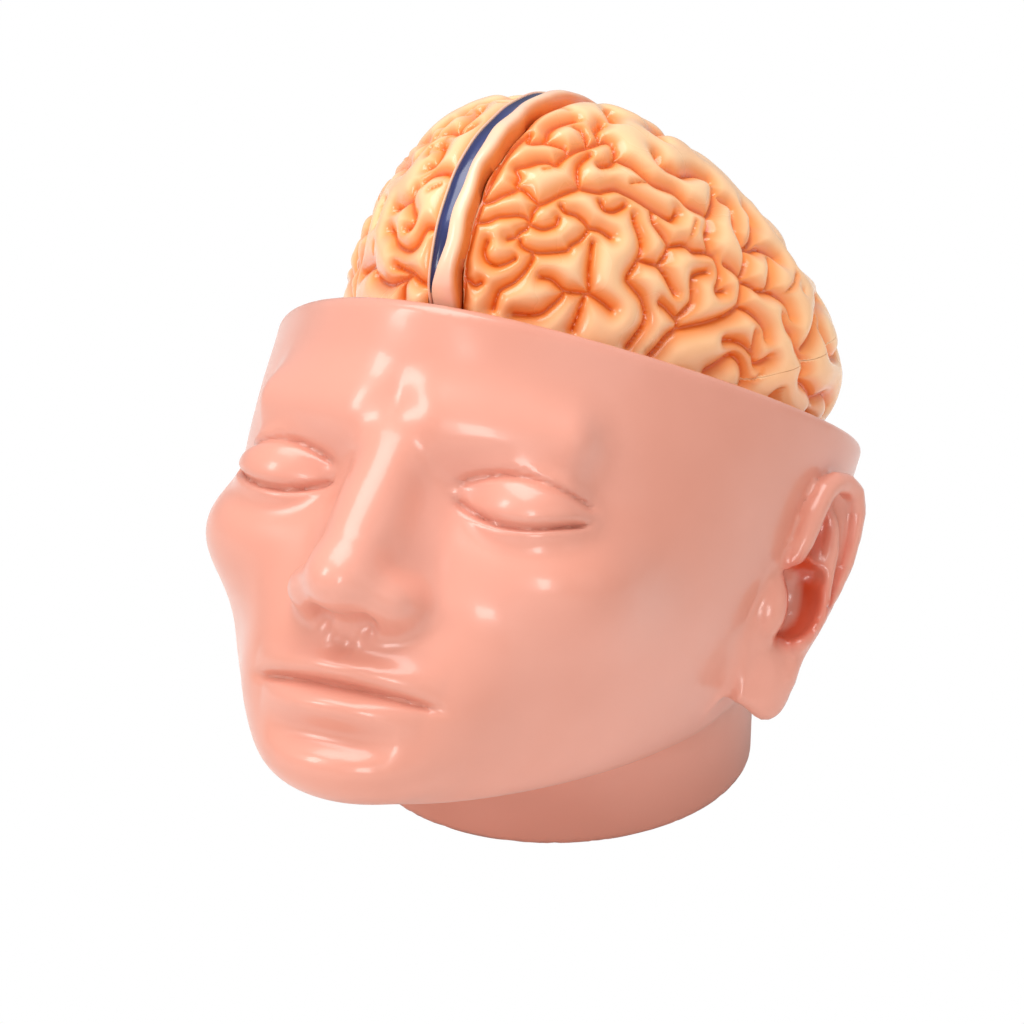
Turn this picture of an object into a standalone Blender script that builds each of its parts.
# Anatomical brain model in a cut-open head: a cast head that rests on its neck, with a cranial
# cavity that holds a brain which comes apart into eight pieces, its dura strip and blue sinus.
# Blender 4.5, metres, +Z up. The origin is the centre of the neck's flat base.
import bpy
import bmesh
import numpy as np
from math import cos, sin, radians, pi
from mathutils import Matrix, Vector

MM = 0.001

# Head and neck
HEAD_LEAN = 29.3
RIM_HEIGHT = 118.2 * MM
RIM_SETBACK = 11.9 * MM
RIM_SIDE_WALL = 13.7 * MM
RIM_END_WALL = 9.7 * MM
RIM_TAPER = 0.33
NECK_HALF_WIDTH = 56.0 * MM
NECK_HALF_DEPTH = 59.2 * MM
FACE_HEIGHT = 125.0 * MM
JAW_RISE = 0.325
NECK_BLEND = 9.0 * MM
EAR_HEIGHT = 66.0 * MM
EAR_FLARE = 32.0
EAR_INSET = 3.6 * MM
EAR_SETBACK = 4.0 * MM
FACE_LINE_WIDTH = 2.0 * MM

# Brain
BRAIN_RISE = 17.7 * MM
BRAIN_HALF_WIDTH = 62.9 * MM
BRAIN_HALF_LENGTH = 85.2 * MM
BRAIN_HALF_HEIGHT = 52.2 * MM
BRAIN_TAPER = 0.45
BASE_DEPTH = 12.0 * MM
BASE_BLEND = 8.0 * MM
TEMPORAL_CENTRE = (37.0 * MM, -10.0 * MM, -16.0 * MM)
TEMPORAL_HALF = (21.0 * MM, 38.0 * MM, 23.0 * MM)
SULCUS_DEPTH = 4.5 * MM
GYRUS_HALF_WIDTH = 5.2 * MM
FILL_WAVELENGTH = 21.0 * MM
CROWN_FULLNESS = 4.0 * MM
REAR_FULLNESS = 4.5 * MM
CEREBELLUM_PLACE = (21.0 * MM, -36.0 * MM)
CEREBELLUM_WIDTH = 58.0 * MM
CEREBELLUM_HEIGHT = 40.0 * MM
CEREBELLUM_END_WALL = 8.2 * MM
FOLIA_DEPTH = 1.2 * MM
FOLIA_PITCH = 5.5 * MM
PONS_CENTRE = (14.0 * MM, -33.0 * MM)
PONS_RADIUS = 15.0 * MM
MIDBRAIN_PLACE = 11.0 * MM
MIDBRAIN_RADIUS = 11.0 * MM
MEDULLA_RADIUS = 7.8 * MM
MEDULLA_END = (27.0 * MM, -80.0 * MM)

# The cerebellum fills the room between the pons and the back of the brain
CEREBELLUM_FRONT = PONS_CENTRE[0] + 0.6 * PONS_RADIUS
CEREBELLUM_BACK = BRAIN_HALF_LENGTH - CEREBELLUM_END_WALL
CEREBELLUM_CENTRE = (CEREBELLUM_PLACE[0], 0.5 * (CEREBELLUM_FRONT + CEREBELLUM_BACK), CEREBELLUM_PLACE[1])
CEREBELLUM_HALF = (0.5 * CEREBELLUM_WIDTH, 0.5 * (CEREBELLUM_BACK - CEREBELLUM_FRONT), 0.5 * CEREBELLUM_HEIGHT)

# The rim follows the brain that it holds
RIM_HALF_WIDTH = BRAIN_HALF_WIDTH + RIM_SIDE_WALL
RIM_HALF_LENGTH = BRAIN_HALF_LENGTH + RIM_END_WALL

# Fits
GAP = 0.3 * MM
CAVITY_CLEARANCE = 0.8 * MM
FALX_THICKNESS = 3.4 * MM
FALX_DEPTH = 26.0 * MM
DURA_BAND_WIDTH = 4.2 * MM
DURA_RISE = 1.6 * MM
DURA_EDGE = 0.9 * MM
DURA_FOOT = 5.5 * MM
TROUGH_DEPTH = 3.4 * MM
TROUGH_LEAF = 0.7 * MM
SINUS_HEIGHT = 1.8 * MM
CEREBRUM_PIN_RADIUS = 2.5 * MM
CEREBRUM_PIN_LENGTH = 14.0 * MM
STEM_PIN_RADIUS = 2.0 * MM
STEM_PIN_LENGTH = 14.0 * MM
FALX_PIN_RADIUS = 1.5 * MM
FALX_PIN_LENGTH = 8.0 * MM

# Places in the head's frame, whose origin is the rim's centre: y to the back, z up the head
PARTING = ((-130, -16), (-52, -16), (-36, -9), (0, 8), (28, 22), (60, 47), (130, 104))
FRONT_PIN_PLACE = (38.0 * MM, -12.0 * MM)
REAR_PIN_PLACE = (30.0 * MM, 36.0 * MM)
STEM_PIN_PLACE = (6.0 * MM, 13.0 * MM)
CEREBELLUM_PIN_PLACE = (7.0 * MM, -33.0 * MM)
FALX_PIN_ANGLES = (50.0, 115.0)

# Mesh fineness
CORTEX_STEPS = 6
CORTEX_FACES = 5450
HEAD_STEP = 2.6 * MM
HEAD_FACES = 2950

SULCI = (
    ((9.5, -16), (9.8, -10), (9.3, -5), (9.8, 0), (10, 6), (10, 12), (10.5, 20), (11, 29), (12, 35), (14, 40)),
    ((10, 6), (14, 7), (17, 9), (20, 10), (23, 11), (25.5, 11), (27, 10)),
    ((28.3, 16.2), (27.1, 13.5), (27, 10.8), (26.5, 8), (25, 6.5), (24, 4.7), (22, 3.6)),
    ((27, 9.3), (30.5, 9), (32.5, 10), (34, 11.5), (34.2, 13.5)),
    ((25.5, 4), (26.5, 2.5), (29.5, 2), (32.5, 2.5), (38, 5), (39, 7), (41, 9.5), (42.5, 13.5)),
    ((34, 17.4), (35.5, 16.2), (38.5, 16.2), (41, 15), (42.5, 13.7), (45, 14), (48, 13)),
    ((44, 9.5), (44.3, 5), (44.5, 2), (45, -1.5), (45.6, -4.8)),
    ((33, -4.3), (36, -4.1), (39.5, -6), (42.5, -5.6), (45.7, -5), (49, -6), (51.3, -7.2)),
    ((39.5, -6), (39, -8), (37, -11), (34.5, -14), (31, -15.5), (27, -16.2)),
    ((29.5, 2), (30, 0), (28.5, -4), (26, -7.5), (23.5, -9.5), (21.5, -11.5), (20.3, -16)),
    ((15.5, 1.5), (15.2, -1.5), (16.7, -3.8), (20, -4.4), (23, -3), (25, -1.3)),
    ((9.5, -10), (11, -10.2), (13.6, -11), (15.5, -10)),
    ((44.8, -5.3), (44.3, -8), (44, -11), (43, -16)),
    ((52.6, 22), (53.4, 19.5), (55, 16), (55.7, 12.6), (55.3, 9), (53.6, 3), (55, 1), (57.3, -1), (58.8, -3.8),
     (59.5, -6.8), (59, -10.2), (57, -16)),
    ((55.3, 9.2), (57.8, 9.4), (60, 9.5), (62, 7.6), (63.7, 5), (65, 3)),
    ((60, 9.5), (61.5, 13), (62.3, 16.2), (64.3, 17.8), (66.3, 18.7), (68.3, 17.7), (71.7, 19), (73.8, 18.7)),
    ((66.5, 19), (67, 22), (68, 26.4)),
    ((62.3, 16.2), (61, 18.4), (59.3, 20.4), (57.8, 22.3), (57, 26.5)),
    ((62, -1), (63.5, -1.7), (65.6, -3.3), (66.8, -4.5), (67, -7)),
    ((62.5, -17), (64, -13.4), (65, -10.3), (67, -7), (70, -4.7), (73.6, -2), (76.8, 1), (78.8, 3.3), (80.3, 5.6)),
    ((72, 13), (70, 11.5), (68.7, 9.8), (68.6, 7.3), (69, 4.6), (69, 1.8), (67.8, -1), (66.6, -3.3)),
    ((73.8, 18.7), (74.8, 16), (75.2, 13.4), (75, 10.6), (74.6, 8), (76.5, 9)),
    ((76.5, 17.5), (79, 16.7), (80.6, 15.2), (81, 12.7), (80.8, 9.5), (80.4, 6)),
    ((78.8, 42.7), (77, 38.5), (74.2, 33), (73.1, 31.2), (73, 27), (71.7, 24), (72.2, 21), (72.8, 19)),
    ((80, 40.5), (83.8, 39.8), (83.4, 36), (81.5, 31), (82, 28), (82.7, 25), (82.8, 21), (81, 15)),
    ((91, 41), (92.5, 38), (90, 34.5), (88, 30.7), (85.7, 27.3), (83.5, 25.3)),
    ((83.5, 25.3), (86.5, 26), (89, 27.6), (93, 28), (95.7, 27)),
    ((91.7, 25), (90.5, 20), (90, 18.8), (88.8, 15.2)),
    ((81, 13.8), (83.6, 14), (86, 13.2), (89, 14.1), (92, 14), (94.5, 12.5), (95.6, 9.3)),
    ((92, 14), (96.3, 18.8), (100, 23.5)),
    ((80.3, 5.8), (83, 5.9), (86, 4.5), (87.8, 2.5), (88.5, 0)),
    ((85.6, 0), (86, -4.5), (87.3, -8.4), (89, -7.5), (90.5, -5.4)),
    ((92.8, 8), (93.9, 5.5), (95.9, 4), (97, 1), (100, -2), (101.3, -4.5), (100.6, -7.5), (104.8, -9), (109, -11)),
    ((86, -15.5), (85.4, -12.4), (83.6, -9.4), (81.4, -8.6), (80, -10), (78.3, -13), (76.3, -16)),
    ((78.3, -5.2), (81, -4.2), (83.8, -4.5), (85.6, -5.7)),
    ((86, -15.5), (88.2, -11.8), (89.5, -8.8)),
    ((105.7, 13), (103.4, 8), (101.3, 4), (99.4, 1)),
    ((21, 19), (19.2, 20), (19.4, 22.6), (17, 25.4), (20, 27.5), (23, 29.8), (26, 30.8), (28.4, 30.6), (29.3, 33),
     (30.6, 35.7), (32.4, 38.4), (35.2, 41), (38.3, 44.4), (40.3, 46)),
    ((28.4, 30.6), (27.6, 27.8), (25.9, 26.7)),
    ((37, 38.3), (35.3, 34.6), (35, 31.7), (36, 28), (37.2, 25)),
    ((37.2, 25), (35, 23), (32.8, 20.8), (30.7, 18.4), (28.3, 16.2), (26, 17), (23.4, 18.5), (21, 19), (18.8, 17.4),
     (16, 15.4), (13.4, 13.2), (10.3, 12)),
    ((14, 40), (16.2, 36.3), (20.6, 37.7), (25, 38), (28.8, 37.6), (30.6, 35.7)),
    ((20.6, 37.7), (21, 40), (20, 42.7), (20.5, 45.8), (23.3, 49.4), (27, 52.5)),
    ((35.2, 41), (34, 44.4), (31.6, 47.5), (29, 48)),
    ((38.3, 44.4), (38, 46.2), (36, 49.8), (37.3, 53.7)),
    ((40.8, 35), (43.6, 36.9), (44.7, 39.6), (44.5, 42.6), (43.2, 44.8), (40.3, 46)),
    ((44.7, 39.6), (47.8, 39.2), (50.6, 38.7), (53.9, 36.8), (57, 35.3), (62.4, 35.4), (65, 34), (67, 32.3),
     (71.4, 32), (73.1, 31.2)),
    ((37.2, 25), (42.5, 25.8), (44, 27), (46.6, 28.7), (49.2, 28.5), (52, 28), (57, 26.5), (62, 25.2), (63.7, 28)),
    ((50.2, 31.4), (53.8, 33.5), (57, 35.3)),
    ((43.6, 22.8), (45, 21), (47.2, 21.2), (49, 23), (50, 24.5)),
    ((58, 47), (59.6, 43.4), (63, 43.2), (66, 43), (70.5, 45.8), (74, 47), (79, 46.8)),
)
RIGHT_SULCI = (
    ((-6, 19.5), (-11, 20.3), (-16.5, 19.6), (-20, 17.4)),
    ((-35, 10.5), (-30, 10.7), (-25.5, 12.2), (-23.7, 14.8)),
    ((-13, 13.6), (-8.7, 15.3)),
    ((-25.5, 12.2), (-22, 8.5), (-19, 6), (-19, 3.8), (-22.3, 2.7)),
    ((-35, 4.2), (-30.5, 1.8), (-27.6, -1), (-22.4, -2.9), (-17.6, -3.5), (-13.8, -2), (-10.5, 2.3), (-7, 2.8)),
    ((-25.7, -7.5), (-19.6, -8.9), (-14.5, -10.2), (-10, -12), (-4.8, -13)),
    ((-14.5, -10.2), (-18.2, -11.6), (-19.4, -14), (-19.5, -17)),
    ((-18.5, -11.5), (-28.8, -12.4), (-36.4, -10.6), (-41, -8.3), (-42, -5.4), (-50, -5.2), (-54, -5.8)),
    ((-42.5, 0.8), (-43, -2.5)),
    ((-24, 31.6), (-20.5, 29.7), (-18.6, 24), (-22, 22.5)),
    ((-22, 34), (-18, 35.3)),
)

MATERIALS = {
    "skin": ((0.73, 0.33, 0.25), 0.3, 0.0),
    "cortex": ((0.88, 0.40, 0.17), 0.25, 0.0),
    "hindbrain": ((0.86, 0.50, 0.30), 0.3, 0.0),
    "dura": ((0.95, 0.77, 0.62), 0.35, 0.0),
    "sinus_blue": ((0.03, 0.04, 0.12), 0.3, 0.0),
    "pin_white": ((0.80, 0.80, 0.76), 0.4, 0.0),
}


# Scene and mesh helpers
def clear_scene():
    for obj in list(bpy.data.objects):
        bpy.data.objects.remove(obj, do_unlink=True)


def make_collection(name):
    collection = bpy.data.collections.new(name)
    bpy.context.scene.collection.children.link(collection)
    return collection


def make_material(name):
    colour, roughness, metallic = MATERIALS[name]
    material = bpy.data.materials.get(name)
    if material is None:
        material = bpy.data.materials.new(name)
        material.use_nodes = True
        shader = material.node_tree.nodes["Principled BSDF"]
        shader.inputs["Base Color"].default_value = (*colour, 1.0)
        shader.inputs["Roughness"].default_value = roughness
        shader.inputs["Metallic"].default_value = metallic
    return material


def new_object(name, mesh, collection, material=None, parent=None):
    obj = bpy.data.objects.new(name, mesh)
    collection.objects.link(obj)
    obj.parent = parent
    if material:
        mesh.materials.append(make_material(material))
    return obj


def mesh_from(name, points, faces):
    mesh = bpy.data.meshes.new(name)
    mesh.from_pydata([tuple(p) for p in points], [], faces)
    return mesh


def outward(mesh):
    """Points every face of a closed mesh outwards."""
    bm = bmesh.new()
    bm.from_mesh(mesh)
    bmesh.ops.recalc_face_normals(bm, faces=bm.faces)
    bm.to_mesh(mesh)
    bm.free()
    return mesh


def bake(obj, *changes):
    """Applies modifiers given as (type, settings) pairs to the object's own mesh."""
    for kind, settings in changes:
        modifier = obj.modifiers.new(kind.lower(), kind)
        for key, value in settings.items():
            setattr(modifier, key, value)
    bpy.context.view_layer.update()
    evaluated = obj.evaluated_get(bpy.context.evaluated_depsgraph_get())
    mesh = bpy.data.meshes.new_from_object(evaluated)
    obj.modifiers.clear()
    obj.data = mesh


def cut(obj, cutter, operation="DIFFERENCE"):
    bake(obj, ("BOOLEAN", {"object": cutter, "operation": operation, "solver": "EXACT"}))


def grid_faces(rows, columns):
    """Quads of a closed ring grid, row after row."""
    faces = []
    for i in range(rows - 1):
        for j in range(columns):
            k = (j + 1) % columns
            faces.append((i * columns + j, i * columns + k, (i + 1) * columns + k, (i + 1) * columns + j))
    return faces


# Smooth maths
def smooth_step(x, low, high):
    t = np.clip((x - low) / (high - low), 0.0, 1.0)
    return t * t * (3.0 - 2.0 * t)


def smooth_min(a, b, k):
    h = np.clip(0.5 + 0.5 * (b - a) / k, 0.0, 1.0)
    return b * (1.0 - h) + a * h - k * h * (1.0 - h)


def smooth_max(a, b, k):
    return -smooth_min(-a, -b, k)


def bell(x, centre, width):
    return np.exp(-((x - centre) / width) ** 2)


def through(stations, values, x):
    """A smooth curve through hand-chosen stations: cubic pieces with matched slopes."""
    s = np.asarray(stations, float)
    v = np.asarray(values, float)
    slope = np.gradient(v, s)
    i = np.clip(np.searchsorted(s, x) - 1, 0, len(s) - 2)
    h = s[i + 1] - s[i]
    t = np.clip((x - s[i]) / h, 0.0, 1.0)
    low = v[i] * (1 + 2 * t) * (1 - t) ** 2 + h * slope[i] * t * (1 - t) ** 2
    return low + v[i + 1] * t * t * (3 - 2 * t) + h * slope[i + 1] * t * t * (t - 1)


# The head's frame: its origin is the rim's centre, and it leans back over the neck
LEAN = radians(HEAD_LEAN)
HEAD_FRAME = Matrix.Translation((0.0, -RIM_SETBACK, RIM_HEIGHT)) @ Matrix.Rotation(-LEAN, 4, "X")
HEAD_AXES = np.array(HEAD_FRAME.to_3x3())
HEAD_ORIGIN = np.array(HEAD_FRAME.translation)


def to_head(points):
    return (points - HEAD_ORIGIN) @ HEAD_AXES


# Head: a skin-coloured casting with closed eyes, ears, neck stump and flat base
HEAD_STATIONS = np.array((-1.12, -0.944, -0.8, -0.64, -0.48, -0.32, -0.16, 0, 0.08)) * FACE_HEIGHT
HEAD_WIDTHS = np.array((0.44, 0.59, 0.715, 0.815, 0.895, 0.955, 0.985, 1.0, 1.0)) * RIM_HALF_WIDTH
HEAD_FRONTS = np.array((0.72, 0.90, 0.925, 0.93, 0.92, 0.92, 0.97, 1.0, 1.0)) * RIM_HALF_LENGTH
HEAD_BACKS = np.array((0.42, 0.46, 0.56, 0.70, 0.84, 0.95, 1.0, 1.0, 1.0)) * RIM_HALF_LENGTH
HEAD_TAPERS = np.array((0.20, 0.17, 0.13, 0.10, 0.10, 0.15, 0.24, RIM_TAPER, RIM_TAPER))
HEAD_SQUARENESS = np.array((2.1, 2.2, 2.3, 2.35, 2.35, 2.3, 2.2, 2.1, 2.1))


def ellipsoid(q, centre, half):
    """Rough signed distance to an ellipsoid, in millimetres."""
    r = np.sqrt(sum(((q[..., i] - centre[i]) / half[i]) ** 2 for i in range(3)))
    return (r - 1.0) * min(half)


def rounded_bar(q, start, end, r_start, r_end):
    """Signed distance to a bar with round ends whose radius changes evenly."""
    a = np.asarray(start, float)
    b = np.asarray(end, float) - a
    t = np.clip(((q - a) @ b) / (b @ b), 0.0, 1.0)
    return np.linalg.norm(q - a - t[..., None] * b, axis=-1) - (r_start + (r_end - r_start) * t)


def rounded_line(q, points, radii):
    """Signed distance to a bent bar through several points."""
    bars = [rounded_bar(q, points[i], points[i + 1], radii[i], radii[i + 1]) for i in range(len(points) - 1)]
    return np.minimum.reduce(bars)


# Ear folds in the ear's own leaning plane, in millimetres: u out from the root, v up, w to the front
HELIX = ((2, -45, 1), (2.6, -38, 2), (4.2, -32, 2.5), (5.4, -25, 2.5), (7.5, -19.5, 2), (11.5, -16, 1.5),
         (16.5, -15, 1), (21, -16.5, 0.5), (23.6, -21, 0.5), (23.8, -28, 0.5), (23, -35, 0.5), (21.2, -42, 0),
         (18.3, -49, 0), (14.8, -56, 0), (11.5, -62, 0), (9, -68, 0))
HELIX_RADII = (1.5, 2.4, 2.9, 3.1, 3.1, 3.0, 2.9, 2.8, 2.6, 2.4, 2.3, 2.2, 2.1, 2.2, 2.4, 2.6)
ANTIHELIX = ((12.9, -22, 0), (15.8, -27, 0.6), (16.4, -33, 1), (15.6, -39, 1.4), (15.8, -45, 1.6),
             (15.2, -50.5, 1.8), (12.6, -55.5, 2.2), (9.6, -59, 2.6))
EAR_BODY = ((-6, -40), (2, -38), (5, -26), (9, -17), (16, -14.5), (21, -16.5), (23.8, -22), (23.8, -29),
            (22.8, -36), (20.8, -43), (17.8, -50), (14.5, -57), (11, -64), (8, -72), (3, -77), (-5, -77))


def leaf_distance(u, v, outline):
    """Signed distance in the ear's plane to a closed outline."""
    points = np.array(outline, float)
    best = np.full(u.shape, 1e9)
    inside = np.zeros(u.shape, bool)
    for (x0, y0), (x1, y1) in zip(points, np.roll(points, -1, 0)):
        ex, ey = x1 - x0, y1 - y0
        t = np.clip(((u - x0) * ex + (v - y0) * ey) / (ex * ex + ey * ey), 0, 1)
        best = np.minimum(best, np.hypot(u - x0 - t * ex, v - y0 - t * ey))
        crosses = (y0 > v) != (y1 > v)
        inside ^= crosses & (u < x0 + (v - y0) * ex / (ey if ey else 1e-9))
    return np.where(inside, -best, best)


def ear_field(a, f, unit):
    """Joins the ear to the head's side: leaf, helix, antihelix, tragus and lobe, then the hollows."""
    scale = EAR_HEIGHT / (66 * unit)
    flare = radians(EAR_FLARE)
    dx = (a[..., 0] - (RIM_HALF_WIDTH - EAR_INSET) / unit) / scale
    dy = (a[..., 1] - EAR_SETBACK / unit) / scale
    q = np.stack([dx * sin(flare) + dy * cos(flare), a[..., 2] / scale, dx * cos(flare) - dy * sin(flare)], -1)
    u, v, w = q[..., 0], q[..., 1], q[..., 2]
    leaf = smooth_max(leaf_distance(u, v, EAR_BODY), np.abs(w + 1.6) - 1.5, 1.5)
    ear = smooth_min(leaf, rounded_line(q, HELIX, HELIX_RADII), 1.2)
    ear = smooth_min(ear, rounded_line(q, ANTIHELIX, (1.4, 2.0, 2.3, 2.5, 2.6, 2.6, 2.6, 2.4)), 1.8)
    ear = smooth_min(ear, ellipsoid(q, (4.5, -71, -0.5), (7.5, 9.5, 3.6)), 3.0)
    ear = smooth_min(ear, ellipsoid(q, (6, -46, -7), (13, 19, 9)), 4.0)
    ear = smooth_min(ear, rounded_bar(q, (5, -36.5, 0), (13, -39, 0.3), 1.8, 1.9), 1.5)
    f = smooth_min(f, ear * scale, 3.5)
    f = smooth_max(f, -ellipsoid(q, (6.2, -48.5, 0.5), (8.2, 9.5, 8.5)), 2.5)
    f = smooth_max(f, -ellipsoid(q, (8.5, -41, 1.5), (6.0, 3.6, 4.5)), 1.6)
    f = smooth_max(f, -rounded_bar(q, (3.0, -57, 3.5), (3.5, -60, 3.0), 2.6, 2.0), 1.6)
    f = smooth_max(f, -ellipsoid(q, (10.4, -29.5, 1.6), (3.4, 6.5, 3.4)), 1.6)
    tragus = smooth_min(ellipsoid(q, (-1.2, -51.5, 3.8), (4.2, 6.5, 3.6)), f, 2.5)
    return np.where(v > -90, tragus, f)


def head_field(points):
    """Negative inside the head. The face is worked out on a head 76.6 wide to each side at the rim,
    94.9 long each way and 125 high below it, and stretched to this head; lengths are in those units."""
    p = to_head(points)
    x, y, z = p[..., 0], p[..., 1], p[..., 2]
    unit = RIM_HALF_WIDTH / 76.6
    width = through(HEAD_STATIONS, HEAD_WIDTHS, z)
    length = np.where(y < 0, through(HEAD_STATIONS, HEAD_FRONTS, z), through(HEAD_STATIONS, HEAD_BACKS, z))
    taper = through(HEAD_STATIONS, HEAD_TAPERS, z)
    power = through(HEAD_STATIONS, HEAD_SQUARENESS, z)
    s = y / length
    w = width * np.maximum(1.0 + taper * s, 0.3)
    ring = (np.abs(x / w) ** power + np.abs(s) ** power) ** (1.0 / power)
    f = (ring - 1.0) * 76.6
    a = np.stack([np.abs(x) / unit, y / RIM_HALF_LENGTH * 94.9, z / FACE_HEIGHT * 125], -1)
    ax, ay, az = a[..., 0], a[..., 1], a[..., 2]

    # Cheekbones, muzzle, chin, eye sockets, closed eyes, brow
    f = smooth_min(f, ellipsoid(a, (39, -60, -59), (17, 20, 13)), 14)
    f = smooth_min(f, ellipsoid(a, (0, -77, -93), (27, 16, 20)), 14)
    f = smooth_min(f, ellipsoid(a, (0, -80, -113), (17, 14.5, 11)), 12)
    f = smooth_max(f, -ellipsoid(a, (29, -106, -42), (17, 21, 11.5)), 9)
    f = smooth_min(f, ellipsoid(a, (31, -72.5, -44), (15, 14.5, 11)), 4)
    f = smooth_min(f, rounded_bar(a, (10, -85.5, -28), (38, -76, -26), 4.5, 3.0), 14)

    # Nose: root, bridge, tip, wings and nostrils
    f = smooth_min(f, ellipsoid(a, (0, -86, -60), (12, 15, 21)), 8)
    f = smooth_min(f, rounded_bar(a, (0, -87, -32), (0, -102, -63), 5.0, 6.5), 7)
    f = smooth_min(f, ellipsoid(a, (0, -103, -68.5), (8.5, 9.0, 7.5)), 5)
    f = smooth_min(f, ellipsoid(a, (10.0, -93, -71.5), (6.5, 10, 6.0)), 5)
    f = smooth_max(f, -ellipsoid(a, (5.8, -99, -78), (2.8, 5.0, 3.0)), 1.5)

    # Lips, the line between them, the groove over them and the one under them
    face = smooth_step(-ay, 50, 65)
    line = FACE_LINE_WIDTH / unit
    f = f - 3.0 * face * bell(az, -88.6, 3.2) * np.clip(1 - (ax / 25) ** 2, 0, 1)
    f = f - 3.6 * face * bell(az, -97.6, 3.8) * np.clip(1 - (ax / 21) ** 2, 0, 1)
    f = f + 2.0 * face * bell(az, -92.8 - 1.0 * (ax / 24) ** 2, line) * (1 - smooth_step(ax, 16, 27))
    f = f + 1.2 * face * bell(ax, 0, 2.6) * bell(az, -82.5, 4.0)
    f = f + 1.8 * face * bell(az, -105, 3.5) * np.clip(1 - (ax / 17) ** 2, 0, 1)

    # The line where the lids meet, and the fold of the upper lid
    across = (ax - 31) / 15
    lid = face * (1 - smooth_step(np.abs(across), 0.85, 1.1))
    f = f + 1.1 * lid * bell(az, -48.5 + 4.0 * across ** 2, line)
    f = f + 0.8 * lid * bell(az, -36.5 - 4.0 * across ** 2, line)

    jaw = -(z + FACE_HEIGHT - JAW_RISE * (y + 0.95 * RIM_HALF_LENGTH)) / unit
    f = smooth_max(f, jaw, 18)
    neck = np.sqrt((points[..., 0] / NECK_HALF_WIDTH) ** 2 + (points[..., 1] / NECK_HALF_DEPTH) ** 2)
    f = smooth_min(f, (neck - 1.0) * NECK_HALF_WIDTH / unit, NECK_BLEND / unit)
    near_ear = (np.abs(x) > 0.65 * RIM_HALF_WIDTH) & (np.abs(y - EAR_SETBACK) < 0.65 * EAR_HEIGHT)
    near_ear &= (z < 0.1 * EAR_HEIGHT) & (z > -1.5 * EAR_HEIGHT)
    if near_ear.any():
        side = (np.stack([np.abs(x), y, z], -1) / unit)[near_ear]
        f[near_ear] = ear_field(side, f[near_ear], unit)
    return f


def mend_touching(inside):
    """Fills samples until no two solid regions meet only along an edge or at a corner."""
    for _ in range(12):
        before = inside.sum()
        for axis in range(3):
            view = np.moveaxis(inside, axis, 2)
            a, b, c, d = view[:-1, :-1], view[1:, :-1], view[:-1, 1:], view[1:, 1:]
            bad = (a == d) & (b == c) & (a != b)
            a |= bad
            b |= bad
        corners = [inside[i:i - 1 or None, j:j - 1 or None, k:k - 1 or None]
                   for i in (0, 1) for j in (0, 1) for k in (0, 1)]
        filled = sum(c.astype(int) for c in corners)
        for one in range(4):
            pair = corners[one].astype(int) + corners[7 - one]
            bad = ((filled == 2) & (pair == 2)) | ((filled == 6) & (pair == 0))
            corners[one] |= bad
            corners[one ^ 1] |= bad
            corners[one ^ 3] |= bad
        if inside.sum() == before:
            break
    return inside


def surface_net(field, low, high, step):
    """Closed quad surface where a field changes sign, its corners moved onto the surface itself."""
    axes = [np.arange(a, b + step, step) for a, b in zip(low, high)]
    grid = np.stack(np.meshgrid(*axes, indexing="ij"), -1)
    value = np.stack([field(layer) for layer in grid])
    mended = mend_touching(value < 0)
    value = np.where(mended, np.minimum(value, -0.01), value)
    n = np.array(value.shape) - 1
    total = np.zeros(tuple(n) + (3,))
    count = np.zeros(tuple(n))
    inside = value < 0
    quads = []
    for axis in range(3):
        one, two = (axis + 1) % 3, (axis + 2) % 3
        head = [slice(None)] * 3
        tail = [slice(None)] * 3
        head[axis], tail[axis] = slice(0, -1), slice(1, None)
        a, b = value[tuple(head)], value[tuple(tail)]
        change = inside[tuple(head)] != inside[tuple(tail)]
        i = np.argwhere(change)
        t = (a / np.where(a == b, 1.0, a - b))[change]
        where = i.astype(float)
        where[:, axis] += t
        corners = []
        for d1, d2 in ((0, 0), (-1, 0), (-1, -1), (0, -1)):
            cell = i.copy()
            cell[:, one] += d1
            cell[:, two] += d2
            corners.append(cell)
            np.add.at(total, tuple(cell.T), where)
            np.add.at(count, tuple(cell.T), 1)
        flip = inside[tuple(head)][change]
        quads.append((np.stack(corners, 1), flip))
    used = np.argwhere(count > 0)
    number = np.full(tuple(n), -1)
    number[tuple(used.T)] = np.arange(len(used))
    points = total[tuple(used.T)] / count[tuple(used.T)][:, None] * step + np.array(low)
    faces = []
    for corners, flip in quads:
        index = number[corners[..., 0], corners[..., 1], corners[..., 2]]
        index = np.where(flip[:, None], index, index[:, ::-1])
        faces += [tuple(f) for f in index.tolist()]
    tiny = 0.1 * MM
    for _ in range(3):
        f = field(points)
        rise = [field(points + tiny * e) - field(points - tiny * e) for e in np.eye(3)]
        slope = np.stack(rise, -1) / (2 * tiny)
        move = f[:, None] * slope / np.maximum((slope ** 2).sum(-1), 1e-9)[:, None]
        size = np.linalg.norm(move, axis=1)[:, None]
        points = points - move * np.minimum(1.0, 0.3 * step / np.maximum(size, 1e-9))
    return points, faces


def head_shell(step):
    """The head as one solid, cut flat at the leaning rim and at the neck's base."""
    reach = RIM_HALF_LENGTH
    spare = 2.5 * step

    def capped(p):
        beyond = np.maximum(to_head(p)[..., 2], -p[..., 2]) - spare
        return np.maximum(head_field(p), beyond / RIM_HALF_WIDTH * 76.6)

    low = (-1.25 * reach, -1.8 * reach, -2 * spare)
    high = (1.25 * reach, 1.25 * reach, 2.1 * reach)
    points, faces = surface_net(capped, low, high, step)
    return outward(mesh_from("head_shell", points, faces))


# Cortex: one folded surface round the brain's centre, later parted into four pieces
BRAIN_CENTRE = np.array((0.0, 0.0, BRAIN_RISE))
FILLER_WAVES = 14


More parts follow.
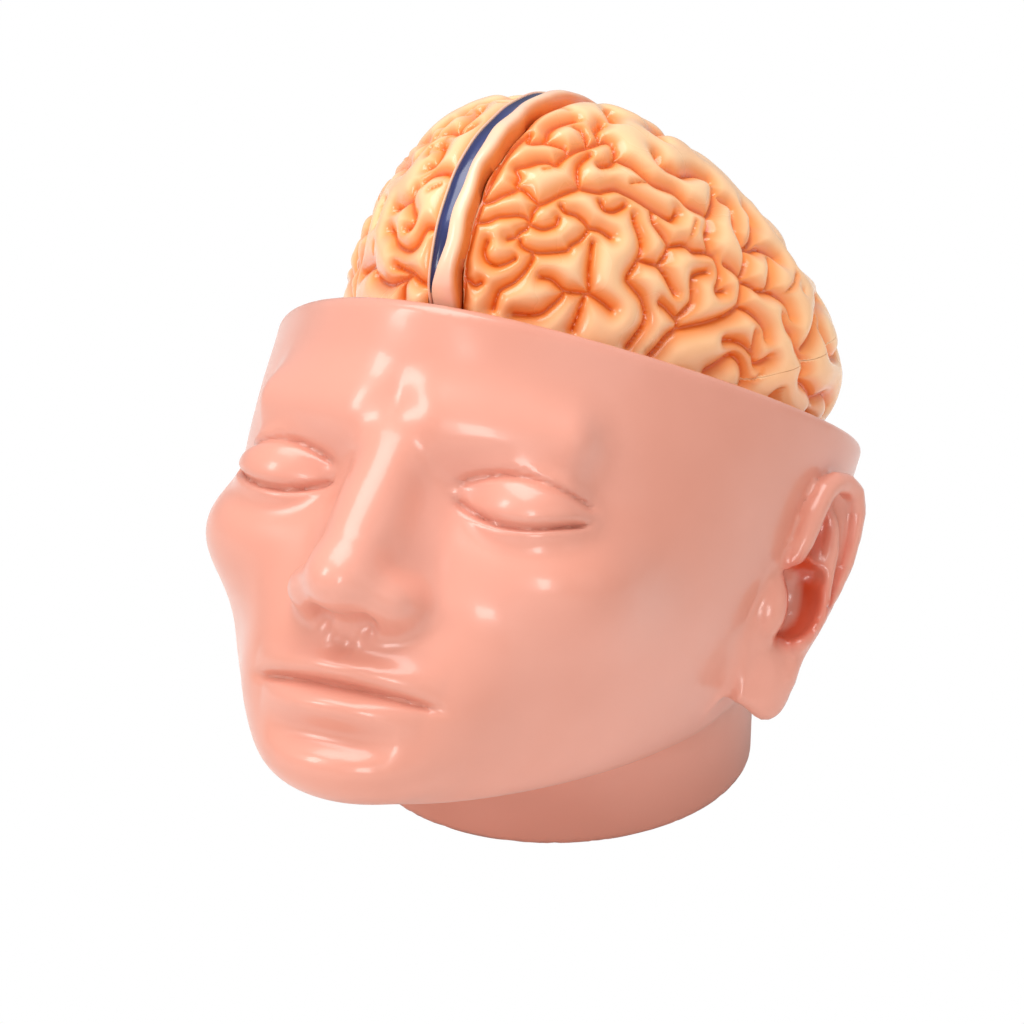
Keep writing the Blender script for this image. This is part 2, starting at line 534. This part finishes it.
def lon_lat(lon, lat):
    """Unit direction: longitude 0 is the forehead, 90 the model's left, latitude 90 the crown."""
    lo, la = np.radians(lon), np.radians(lat)
    return np.stack([np.cos(la) * np.sin(lo), -np.cos(la) * np.cos(lo), np.sin(la)], -1)


def cortex_points(u, extra=0.0):
    """The smooth envelope: an egg cut flat under the frontal and occipital lobes, with temporal lobes."""
    egg = np.stack([BRAIN_HALF_WIDTH * (1 + BRAIN_TAPER * u[..., 1]) * u[..., 0],
                    BRAIN_HALF_LENGTH * u[..., 1], BRAIN_HALF_HEIGHT * u[..., 2]], -1)
    r = np.linalg.norm(egg, axis=-1)
    d = egg / r[..., None]
    m = np.stack([np.abs(u[..., 0]), u[..., 1], u[..., 2]], -1)
    r = r + CROWN_FULLNESS * np.exp(-((1 - m @ lon_lat(50, 66)) / 0.12))
    r = r + REAR_FULLNESS * np.exp(-((1 - m @ lon_lat(120, -8)) / 0.09))
    down = np.minimum(d[..., 2], -1e-3)
    floor = np.where(d[..., 2] < -0.02, -(BASE_DEPTH + BRAIN_RISE) / down, 1.0)
    r = smooth_min(r, floor, BASE_BLEND)
    centre = np.array(TEMPORAL_CENTRE)
    half = np.array(TEMPORAL_HALF)
    e = np.stack([np.abs(d[..., 0]), d[..., 1], d[..., 2]], -1) / half
    c = (BRAIN_CENTRE - centre) / half
    aa = (e * e).sum(-1)
    bb = (e @ c)
    miss = (c @ c) - bb * bb / aa
    lobe = (-bb / aa + np.sqrt(np.clip(1 - miss, 0, 1) / aa)) * (1 - smooth_step(miss, 0.85, 1.35))
    r = smooth_max(r, lobe, BASE_BLEND * 0.6)
    return BRAIN_CENTRE + d * (r + extra)[..., None]


def segment_distance(points, curves):
    """Distance from each point to the nearest piece of any of the curves."""
    best = np.full(len(points), 1.0)
    for curve in curves:
        for a, b in zip(curve[:-1], curve[1:]):
            ab = b - a
            t = np.clip((points - a) @ ab / (ab @ ab), 0, 1)
            best = np.minimum(best, np.linalg.norm(points - a - t[:, None] * ab, axis=1))
    return best


def sulcus_curves():
    """Sulci of both sides on the envelope; the right side's hidden part repeats the left's."""
    curves = [cortex_points(lon_lat(*np.array(c, float).T)) for c in SULCI + RIGHT_SULCI]
    for c in SULCI:
        lon, lat = np.array(c, float).T
        if lon.min() > 47 or lat.min() > 24:
            curves.append(cortex_points(lon_lat(-lon, lat)))
    return curves


def filler_distance(p):
    """Distance to the winding zero lines of summed waves, for the parts no curve describes."""
    n = np.arange(FILLER_WAVES)
    height = 1 - 2 * (n + 0.5) / FILLER_WAVES
    turn = n * pi * (3 - 5 ** 0.5)
    across = np.sqrt(1 - height ** 2)
    waves = np.stack([across * np.cos(turn), across * np.sin(turn), height], -1) * 2 * pi / FILL_WAVELENGTH
    q = np.stack([np.abs(p[:, 0]), p[:, 1], p[:, 2]], -1)
    phase = q @ waves.T + n * n * 2.4
    value = np.cos(phase).sum(1)
    slope = np.linalg.norm(np.sin(phase) @ waves, axis=1)
    return np.abs(value) / np.maximum(slope, 0.35 * slope.mean())


def relief_depth(p, u, curves):
    """How far the surface sinks: gyri are round-backed, sulci are creases."""
    d = segment_distance(p, curves)
    lon = np.degrees(np.arctan2(np.abs(u[:, 0]), -u[:, 1]))
    lat = np.degrees(np.arcsin(np.clip(u[:, 2], -1, 1)))
    above = smooth_step(lat, 50, 56)
    below = smooth_step(-lat, 17, 22)
    hidden = np.maximum.reduce([smooth_step(lon, 102, 108), above, below])
    keep_out = 12 * MM * (1 - hidden) * (1 - smooth_step(d, 7 * MM, 10 * MM))
    d = np.minimum(d, filler_distance(p) + keep_out)
    d = np.minimum(d, np.abs(p[:, 0]))
    t = np.clip(1 - d / GYRUS_HALF_WIDTH, 0, 1)
    return SULCUS_DEPTH * (1 - np.sqrt(1 - t * t))


def sphere_directions(steps):
    bm = bmesh.new()
    bmesh.ops.create_icosphere(bm, subdivisions=steps, radius=1.0)
    u = np.array([v.co[:] for v in bm.verts])
    faces = [tuple(v.index for v in f.verts) for f in bm.faces]
    bm.free()
    return u / np.linalg.norm(u, axis=1)[:, None], faces


def make_cortex(guides, frame):
    u, faces = sphere_directions(CORTEX_STEPS)
    p = cortex_points(u)
    inward = (p - BRAIN_CENTRE) / np.linalg.norm(p - BRAIN_CENTRE, axis=1)[:, None]
    p = p - inward * relief_depth(p, u, sulcus_curves())[:, None]
    cortex = new_object("whole_cortex", outward(mesh_from("whole_cortex", p, faces)), guides, None, frame)
    bake(cortex, ("DECIMATE", {"ratio": CORTEX_FACES / len(faces)}))
    return cortex


# Parting, pins and bores
def prism(name, outline, x_low, x_high, collection, frame):
    """A solid with a flat outline in the y-z plane, from x_low to x_high."""
    bm = bmesh.new()
    face = bm.faces.new([bm.verts.new((x_low, y, z)) for y, z in outline])
    out = bmesh.ops.extrude_face_region(bm, geom=[face])
    moved = [g for g in out["geom"] if isinstance(g, bmesh.types.BMVert)]
    bmesh.ops.translate(bm, verts=moved, vec=(x_high - x_low, 0, 0))
    bmesh.ops.recalc_face_normals(bm, faces=bm.faces)
    mesh = bpy.data.meshes.new(name)
    bm.to_mesh(mesh)
    bm.free()
    return new_object(name, mesh, collection, None, frame)


def parting_outline(upper):
    """The region above or below the parting step, which follows the lateral sulcus and climbs behind."""
    shift = 0.5 * GAP if upper else -0.5 * GAP
    far = 3 * BRAIN_HALF_LENGTH if upper else -2 * BRAIN_HALF_LENGTH
    step = [(y * MM, z * MM + shift) for y, z in PARTING]
    return step + [(step[-1][0], far), (step[0][0], far)] if upper else [(step[0][0], far)] + step + [
        (step[-1][0], far)]


def side_range(side):
    inner = 0.5 * FALX_THICKNESS + GAP
    return (inner, 2 * BRAIN_HALF_WIDTH) if side > 0 else (-2 * BRAIN_HALF_WIDTH, -inner)


def copy_of(obj, name, collection, material):
    twin = bpy.data.objects.new(name, obj.data.copy())
    twin.parent = obj.parent
    collection.objects.link(twin)
    twin.data.materials.clear()
    twin.data.materials.append(make_material(material))
    return twin


def parting_height(y):
    ys, zs = np.array(PARTING, float).T * MM
    return float(np.interp(y, ys, zs))


def round_bar(name, centre, direction, radius, length, sides, collection, frame, material=None):
    """A straight pin or a bore cutter, centred on a point and turned to a direction."""
    bm = bmesh.new()
    bmesh.ops.create_cone(bm, cap_ends=True, cap_tris=False, segments=sides, radius1=radius, radius2=radius,
                          depth=length)
    mesh = bpy.data.meshes.new(name)
    bm.to_mesh(mesh)
    bm.free()
    obj = new_object(name, mesh, collection, material, frame)
    obj.location = centre
    obj.rotation_euler = Vector(direction).to_track_quat("Z", "Y").to_euler()
    return obj


def pin_with_bores(name, centre, direction, radius, length, hosts, parts, guides, frame):
    """A loose pin and the blind bores that its two hosts get for it."""
    pin = round_bar(name, centre, direction, radius, length, 12, parts, frame, "pin_white")
    bore = round_bar(name + "_bore", centre, direction, radius + GAP, length + 2 * GAP, 12, guides, frame)
    for host in hosts:
        cut(host, bore)
    return pin


# Falx with its dura band, and the blue sinus that lies in the trough
def sagittal_line(t):
    """Points of the brain's midline profile at angles t in degrees, and their outward normals."""
    p = cortex_points(lon_lat(0 * t, t))
    q = cortex_points(lon_lat(0 * t, t + 0.5))
    tangent = (q - p) / np.linalg.norm(q - p, axis=1)[:, None]
    return p, np.stack([0 * t, -tangent[:, 2], tangent[:, 1]], -1)


def carried_section(name, t, section, collection, frame, material):
    """A closed section of (x, height) pairs carried along the midline; section is a function of t."""
    p, n = sagittal_line(t)
    rings = []
    for i in range(len(t)):
        s = section(t[i])
        rings.append([(x, p[i, 1] + h * n[i, 1], p[i, 2] + h * n[i, 2]) for x, h in s])
    count = len(rings[0])
    faces = grid_faces(len(t), count)
    faces.append(tuple(range(count)))
    faces.append(tuple(range((len(t) - 1) * count, len(t) * count)))
    mesh = outward(mesh_from(name, [v for ring in rings for v in ring], faces))
    return new_object(name, mesh, collection, material, frame)


def falx_section(extra):
    half = 0.5 * FALX_THICKNESS
    band = half + DURA_BAND_WIDTH

    def section(t):
        depth = FALX_DEPTH * (0.35 + 0.65 * float(smooth_step(t, -10, 70)))
        bottom = -depth - extra
        if extra:
            top = DURA_RISE + SULCUS_DEPTH
            return [(-half - extra, bottom), (-half - extra, top), (band + extra, top),
                    (band + extra, -DURA_EDGE - extra), (half + extra, -DURA_FOOT - extra),
                    (half + extra, bottom)]
        return [(-half, bottom), (-half, DURA_EDGE), (-half + TROUGH_LEAF, DURA_EDGE),
                (-half + TROUGH_LEAF, -TROUGH_DEPTH), (half, -TROUGH_DEPTH), (half, 0.5 * DURA_RISE),
                (half + 0.25 * DURA_BAND_WIDTH, DURA_RISE), (half + 0.65 * DURA_BAND_WIDTH, DURA_RISE),
                (band - 0.07 * DURA_BAND_WIDTH, 0.4 * DURA_RISE), (band, -DURA_EDGE), (half, -DURA_FOOT),
                (half, bottom)]
    return section


def sinus_section(t):
    low = -TROUGH_DEPTH + GAP
    left = -0.5 * FALX_THICKNESS + TROUGH_LEAF + GAP
    right = 0.5 * FALX_THICKNESS - GAP
    top = low + SINUS_HEIGHT
    side = top - 0.3 * SINUS_HEIGHT
    return [(left, low), (left, side), (0.5 * (left + right), top), (right, side), (right, low)]


# Hindbrain: brainstem halves and cerebellum halves that stay in the head's lower hollow
STEM_STATIONS = np.array((
    (-BASE_DEPTH - GAP, MIDBRAIN_PLACE, MIDBRAIN_RADIUS),
    (0.5 * (PONS_CENTRE[1] - BASE_DEPTH), MIDBRAIN_PLACE, 1.05 * MIDBRAIN_RADIUS),
    (PONS_CENTRE[1], PONS_CENTRE[0], PONS_RADIUS),
    (PONS_CENTRE[1] - 0.8 * PONS_RADIUS, PONS_CENTRE[0] + 0.1 * PONS_RADIUS, 0.75 * PONS_RADIUS),
    (0.5 * (PONS_CENTRE[1] + MEDULLA_END[1]), 0.5 * (PONS_CENTRE[0] + MEDULLA_END[0]), 1.08 * MEDULLA_RADIUS),
    (MEDULLA_END[1], MEDULLA_END[0], MEDULLA_RADIUS)))


def stem_solid(name, extra, collection, frame, material=None):
    """The stem as rings along its bending axis: midbrain, pons and medulla."""
    sides = 20
    z, y, r = np.array(STEM_STATIONS).T
    fine = np.linspace(0, 1, 11)
    where = np.linspace(0, 1, len(z))
    zz = np.interp(fine, where, z)
    yy = through(where, y, fine)
    rr = through(where, r, fine) + extra
    zz[0] += 14 * GAP if extra else 0
    zz[-1] -= extra
    turn = np.arange(sides) * 2 * pi / sides
    rings = [[(rr[i] * cos(a), yy[i] + rr[i] * sin(a), zz[i]) for a in turn] for i in range(len(zz))]
    faces = grid_faces(len(zz), sides)
    faces.append(tuple(range(sides)))
    faces.append(tuple(range((len(zz) - 1) * sides, len(zz) * sides)))
    return new_object(name, outward(mesh_from(name, [v for ring in rings for v in ring], faces)), collection,
                      material, frame)


def cerebellum_points(u, extra=0.0):
    c = np.array(CEREBELLUM_CENTRE)
    return c + u * (np.array(CEREBELLUM_HALF) + extra)


def cerebellum_solid(name, guides, frame):
    u, faces = sphere_directions(4)
    p = cerebellum_points(u)
    groove = 0.5 + 0.5 * np.cos(p[:, 2] * 2 * pi / FOLIA_PITCH)
    p = p - u * (FOLIA_DEPTH * groove)[:, None]
    obj = new_object(name, outward(mesh_from(name, p, faces)), guides, None, frame)
    bake(obj, ("DECIMATE", {"ratio": 0.17}))
    return obj


def inside_cerebrum(p):
    """True where a point in the head's frame lies in the cerebrum's envelope, clearance included."""
    d = p - BRAIN_CENTRE
    scaled = d / np.array((BRAIN_HALF_WIDTH, BRAIN_HALF_LENGTH, BRAIN_HALF_HEIGHT))
    u = scaled / np.linalg.norm(scaled, axis=-1)[..., None]
    for _ in range(6):
        u = scaled / np.stack([1 + BRAIN_TAPER * u[..., 1], 1 + 0 * u[..., 1], 1 + 0 * u[..., 1]], -1)
        u = u / np.linalg.norm(u, axis=-1)[..., None]
    envelope = np.linalg.norm(cortex_points(u, CAVITY_CLEARANCE) - BRAIN_CENTRE, axis=-1)
    return np.linalg.norm(d, axis=-1) < envelope


def cerebellum_room(guides, frame):
    """Both cerebellar hollows: round below, and drawn upward so that they open into the cavity."""
    rooms = []
    for side in (1, -1):
        u, faces = sphere_directions(3)
        centre = np.array(CEREBELLUM_CENTRE) * (side, 1, 1)
        half = np.array(CEREBELLUM_HALF) + CAVITY_CLEARANCE + 1.3 * MM
        drawn = np.where(u[:, 2:] > 0, (1.0, 1.0, 4.0), 1.0)
        p = centre + u * half * drawn
        mesh = outward(mesh_from("cerebellum_room", p, faces))
        room = new_object("cerebellum_room", mesh, guides, None, frame)
        bake(room, ("DECIMATE", {"ratio": 0.35}))
        rooms.append(room)
    return rooms


def cavity_solid(guides, frame):
    """The cranial hollow: its floor lies just under the cerebrum in every upright column."""
    columns, rings, fine = 40, 12, 3
    middle = np.array((0.0, PONS_CENTRE[0]))
    turn = np.arange(columns * fine) * 2 * pi / (columns * fine)
    way = np.stack([np.cos(turn), np.sin(turn)], -1)
    lowest = 1.2 * (TEMPORAL_CENTRE[2] - TEMPORAL_HALF[2])
    heights = np.linspace(lowest, 0.0, 95)
    low, high = np.full(len(turn), 0.6 * BRAIN_HALF_WIDTH), np.full(len(turn), 1.2 * BRAIN_HALF_LENGTH)
    for _ in range(12):
        r = 0.5 * (low + high)
        spots = np.repeat((middle + way * r[:, None])[:, None], len(heights), 1)
        spots = np.concatenate([spots, np.broadcast_to(heights[:, None], spots.shape[:2] + (1,))], -1)
        inside = inside_cerebrum(spots).any(1)
        low, high = np.where(inside, r, low), np.where(inside, high, r)
    shares = np.linspace(0, 1, rings * fine + 1)
    flat = middle + way[None] * ((high + CAVITY_CLEARANCE) * shares[:, None])[..., None]
    columns3 = np.concatenate([np.repeat(flat[..., None, :], len(heights), 2),
                               np.broadcast_to(heights[:, None], flat.shape[:2] + (len(heights), 1))], -1)
    hit = inside_cerebrum(columns3)
    floor = np.where(hit.any(-1), heights[hit.argmax(-1)], 0.0)
    floor = np.minimum.reduce([np.roll(floor, k, 1) for k in range(-fine, fine + 1)])
    padded = np.pad(floor, ((fine, fine), (0, 0)), mode="edge")
    floor = np.minimum.reduce([padded[k:k + len(floor)] for k in range(2 * fine + 1)]) - CAVITY_CLEARANCE
    points = np.concatenate([flat, floor[..., None]], -1)[fine::fine, ::fine]
    top = points[-1].copy()
    top[:, 2] = BRAIN_RISE
    verts = [(*middle, floor[0, 0])] + [tuple(v) for v in points.reshape(-1, 3)]
    verts += [tuple(v) for v in top]
    faces = [tuple(i + 1 for i in f) for f in grid_faces(rings + 1, columns)]
    faces += [(0, 1 + j, 1 + (j + 1) % columns) for j in range(columns)]
    faces.append(tuple(1 + rings * columns + j for j in range(columns)))
    return new_object("cavity", outward(mesh_from("cavity", verts, faces)), guides, None, frame)


def build():
    clear_scene()
    parts = make_collection("brain_anatomy_model")
    guides = make_collection("cutters")
    frame = bpy.data.objects.new("head_frame", None)
    frame.matrix_world = HEAD_FRAME
    parts.objects.link(frame)
    bpy.context.view_layer.update()

    shell = head_shell(HEAD_STEP)
    head = new_object("head_base", shell, parts, "skin")
    bake(head, ("DECIMATE", {"ratio": HEAD_FACES / (2 * len(shell.polygons))}))
    far = 3 * RIM_HALF_LENGTH
    cut(head, prism("above_rim", [(-far, 0), (far, 0), (far, far), (-far, far)], -far, far, guides, frame))
    cut(head, prism("below_base", [(-far, -far), (far, -far), (far, 0), (-far, 0)], -far, far, guides, None))
    cut(head, cavity_solid(guides, frame))
    for room in cerebellum_room(guides, frame):
        cut(head, room)
    cut(head, stem_solid("stem_well", CAVITY_CLEARANCE, guides, frame))

    cortex = make_cortex(guides, frame)
    upper, lower = {}, {}
    for side, word in ((1, "left"), (-1, "right")):
        low, high = side_range(side)
        above = prism("above_" + word, parting_outline(True), low, high, guides, frame)
        below = prism("below_" + word, parting_outline(False), low, high, guides, frame)
        upper[side] = copy_of(cortex, "frontal_parietal_" + word, parts, "cortex")
        cut(upper[side], above, "INTERSECT")
        lower[side] = copy_of(cortex, "temporal_occipital_" + word, parts, "cortex")
        cut(lower[side], below, "INTERSECT")

    t = np.linspace(-13, 172, 27)
    falx = carried_section("falx_cerebri", t, falx_section(0), parts, frame, "dura")
    room = carried_section("falx_room", np.linspace(-14, 173, 27), falx_section(GAP), guides, frame, None)
    cut(upper[1], room)
    cut(lower[1], room)
    t = np.linspace(-12, 171, 27)
    carried_section("superior_sagittal_sinus", t, sinus_section, parts, frame, "sinus_blue")

    for side, word in ((1, "left"), (-1, "right")):
        for label, place in (("front", FRONT_PIN_PLACE), ("rear", REAR_PIN_PLACE)):
            centre = (side * place[0], place[1], parting_height(place[1]))
            pin_with_bores("cerebrum_pin_%s_%s" % (label, word), centre, (0, 0, 1), CEREBRUM_PIN_RADIUS,
                           CEREBRUM_PIN_LENGTH, (upper[side], lower[side]), parts, guides, frame)

    stem = stem_solid("whole_stem", 0.0, guides, frame)
    stem_room = stem_solid("stem_room", GAP, guides, frame)
    u, faces = sphere_directions(4)
    envelope = outward(mesh_from("cerebrum_room", cortex_points(u, 2 * GAP), faces))
    cerebrum_room = new_object("cerebrum_room", envelope, guides, None, frame)
    for side, word in ((1, "left"), (-1, "right")):
        half_gap = 0.5 * GAP
        wide = 2 * BRAIN_HALF_WIDTH
        below_tent = [(-wide, -wide), (wide, -wide), (wide, -BASE_DEPTH - GAP), (-wide, -BASE_DEPTH - GAP)]
        x_range = (half_gap, wide) if side > 0 else (-wide, -half_gap)
        half_space = prism("hind_" + word, below_tent, *x_range, guides, frame)
        brainstem = copy_of(stem, "brainstem_" + word, parts, "hindbrain")
        cut(brainstem, half_space, "INTERSECT")
        lobe = cerebellum_solid("cerebellum_form_" + word, guides, frame)
        lobe.scale.x = side
        cerebellum = copy_of(lobe, "cerebellum_" + word, parts, "hindbrain")
        if side < 0:
            cerebellum.data.transform(Matrix.Scale(-1, 4, (1, 0, 0)))
            outward(cerebellum.data)
        cut(cerebellum, half_space, "INTERSECT")
        cut(cerebellum, stem_room)
        cut(cerebellum, cerebrum_room)
        size = (STEM_PIN_RADIUS, STEM_PIN_LENGTH)
        centre = (side * STEM_PIN_PLACE[0], STEM_PIN_PLACE[1], -BASE_DEPTH)
        pin_with_bores("brainstem_pin_" + word, centre, (0, 0, 1), *size, (lower[side], brainstem), parts,
                       guides, frame)
        centre = (side * CEREBELLUM_PIN_PLACE[0], PONS_CENTRE[0] + 13 * MM, CEREBELLUM_PIN_PLACE[1])
        pin_with_bores("cerebellum_pin_" + word, centre, (0, 1, 0), *size, (cerebellum, brainstem), parts,
                       guides, frame)

    for angle, word in zip(FALX_PIN_ANGLES, ("front", "rear")):
        p, n = sagittal_line(np.array([angle]))
        at = p[0] - n[0] * 0.5 * FALX_DEPTH
        centre = (0.5 * FALX_PIN_LENGTH - 0.2 * FALX_THICKNESS, at[1], at[2])
        pin_with_bores("falx_pin_" + word, centre, (1, 0, 0), FALX_PIN_RADIUS, FALX_PIN_LENGTH,
                       (falx, upper[1]), parts, guides, frame)

    for obj in guides.objects:
        obj.hide_render = True
        obj.display_type = "WIRE"
    for obj in parts.objects:
        if obj.type == "MESH":
            obj.data.shade_smooth()
            obj.data.set_sharp_from_angle(angle=radians(50))


build()
